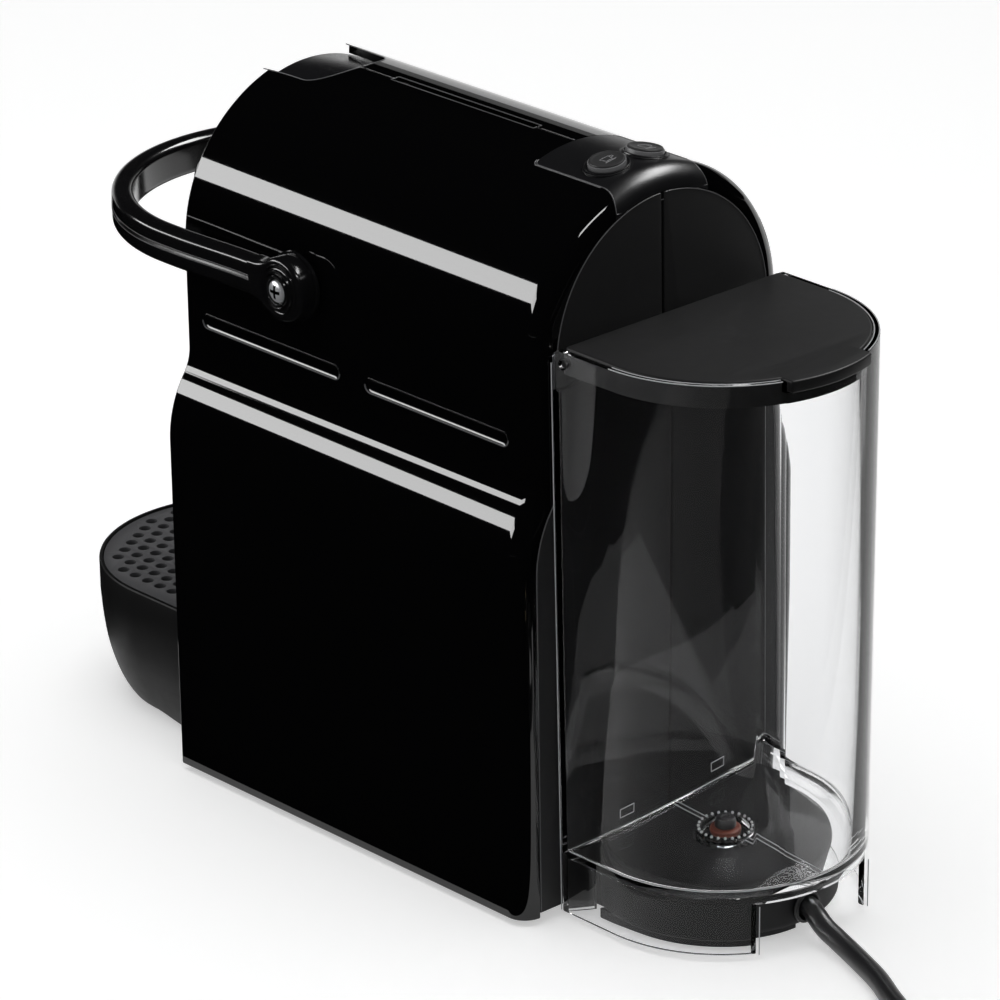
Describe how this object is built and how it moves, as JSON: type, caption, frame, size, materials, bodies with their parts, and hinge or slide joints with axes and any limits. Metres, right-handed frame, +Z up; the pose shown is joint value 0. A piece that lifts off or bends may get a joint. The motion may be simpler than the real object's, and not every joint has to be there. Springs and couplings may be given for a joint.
{
  "type": "pod coffee machine",
  "caption": "Slim capsule coffee machine with a lift lever over a sliding loading hatch, buttons on top, a clear rear water tank, a used capsule container and a round drip tray.",
  "frame": {"origin": "on the surface it stands on, under the middle of the machine without its cord", "axes": "+Z up, -Y towards the drip tray and the user, +Y towards the water tank, +X to the machine's right side seen from the user's seat at -Y"},
  "size_m": [0.1984, 0.4747, 0.2304],
  "materials": {
    "gloss_black": "high gloss black",
    "matt_black": "fine matt texture",
    "satin_black": "satin black",
    "button_grey": "satin dark grey",
    "grid_grey": "satin mid grey",
    "clear_tank": "clear, faintly blue",
    "rubber_black": "matt black rubber",
    "seal_red": "reddish brown rubber",
    "chrome": "bright",
    "aluminium": "cast, plain",
    "white_plastic": "plain",
    "board_green": "solder mask green",
    "hose_clear": "milky translucent",
    "brass": "bright"
  },
  "bodies": {
    "chassis": {"right_side_cover": "gloss_black", "left_side_cover": "gloss_black", "rear_panel_right": "matt_black", "rear_panel_left": "matt_black", "button_panel": "matt_black", "capsule_chute": "matt_black", "front_panel": "satin_black", "brew_head": "gloss_black", "coffee_outlet": "matt_black", "extraction_plate": "matt_black", "brew_frame": "matt_black", "base": "matt_black", "foot_front_right": "rubber_black", "foot_front_left": "rubber_black", "foot_rear_right": "rubber_black", "foot_rear_left": "rubber_black", "pump": "aluminium", "pump_mount_front": "rubber_black", "pump_mount_rear": "rubber_black", "flow_meter": "white_plastic", "heater": "aluminium", "circuit_board": "board_green", "hose_dock_to_pump": "hose_clear", "hose_pump_to_heater": "hose_clear", "hose_heater_to_brew": "hose_clear", "cable_gland": "matt_black", "power_cord": "rubber_black", "power_cord_coil": "rubber_black", "power_plug": "rubber_black", "plug_pin_right": "brass", "plug_pin_left": "brass"},
    "lever_arm": {"lever": "satin_black", "crank_right": "aluminium", "crank_left": "aluminium", "lever_screw_right": "chrome", "lever_screw_left": "chrome"},
    "cage": {"capsule_cage": "matt_black"},
    "toggle_links": {"toggle_link_right": "aluminium", "toggle_link_left": "aluminium"},
    "hatch": {"slide_door": "satin_black"},
    "espresso_key": {"espresso_button": "button_grey"},
    "lungo_key": {"lungo_button": "button_grey"},
    "tank": {"water_tank": "clear_tank", "valve_spring": "chrome"},
    "lid": {"tank_lid": "matt_black"},
    "valve": {"valve_plunger": "matt_black", "valve_seal": "seal_red"},
    "tray": {"drip_tray": "matt_black"},
    "grid": {"drip_grid": "grid_grey"},
    "capsule_bin": {"capsule_container": "satin_black"},
    "cup_shelf": {"cup_support": "satin_black"}
  },
  "joints": [
    {"name": "lever_lift", "type": "hinge", "parent": "chassis", "child": "lever_arm", "pos_m": [0, -0.0195, 0.1778], "axis": [-1, 0, 0], "range_deg": [0, 95]},
    {"name": "cage_travel", "type": "slide", "parent": "chassis", "child": "cage", "axis": [0, 1, 0], "range_m": [0, 0.0289]},
    {"name": "toggle_swing", "type": "hinge", "parent": "cage", "child": "toggle_links", "pos_m": [0, -0.0595, 0.1778], "axis": [1, 0, 0], "range_deg": [0, 54.6]},
    {"name": "hatch_slide", "type": "slide", "parent": "chassis", "child": "hatch", "axis": [0, 1, 0], "range_m": [0, 0.0301]},
    {"name": "espresso_press", "type": "slide", "parent": "chassis", "child": "espresso_key", "axis": [-0.151, 0, -0.9885], "range_m": [0, 0.0012], "stiffness_N_per_m": 400, "springref_m": -0.002},
    {"name": "lungo_press", "type": "slide", "parent": "chassis", "child": "lungo_key", "axis": [0.151, 0, -0.9885], "range_m": [0, 0.0012], "stiffness_N_per_m": 400, "springref_m": -0.002},
    {"name": "tank_lift_off", "type": "slide", "parent": "chassis", "child": "tank", "axis": [0, 0, 1], "range_m": [0, 0.04]},
    {"name": "lid_hinge", "type": "hinge", "parent": "tank", "child": "lid", "pos_m": [0, 0.0924, 0.1815], "axis": [1, 0, 0], "range_deg": [0, 90]},
    {"name": "valve_lift", "type": "slide", "parent": "tank", "child": "valve", "axis": [0, 0, 1], "range_m": [0, 0.0015], "stiffness_N_per_m": 200, "springref_m": -0.002, "deforming": ["valve_spring"]},
    {"name": "tray_pull_out", "type": "slide", "parent": "chassis", "child": "tray", "axis": [0, -1, 0], "range_m": [0, 0.1]},
    {"name": "grid_lift_off", "type": "slide", "parent": "tray", "child": "grid", "axis": [0, 0, 1], "range_m": [0, 0.02]},
    {"name": "bin_pull_out", "type": "slide", "parent": "chassis", "child": "capsule_bin", "axis": [0, -1, 0], "range_m": [0, 0.07]},
    {"name": "cup_shelf_fold", "type": "hinge", "parent": "capsule_bin", "child": "cup_shelf", "pos_m": [0, -0.0749, 0.074], "axis": [1, 0, 0], "range_deg": [0, 90]}
  ],
  "couplings": [
    {"joint": "cage_travel", "follows": "lever_lift", "m_per_rad": 0.01737},
    {"joint": "toggle_swing", "follows": "lever_lift", "ratio": 0.5726},
    {"joint": "hatch_slide", "follows": "lever_lift", "m_per_rad": 0.01809}
  ]
}
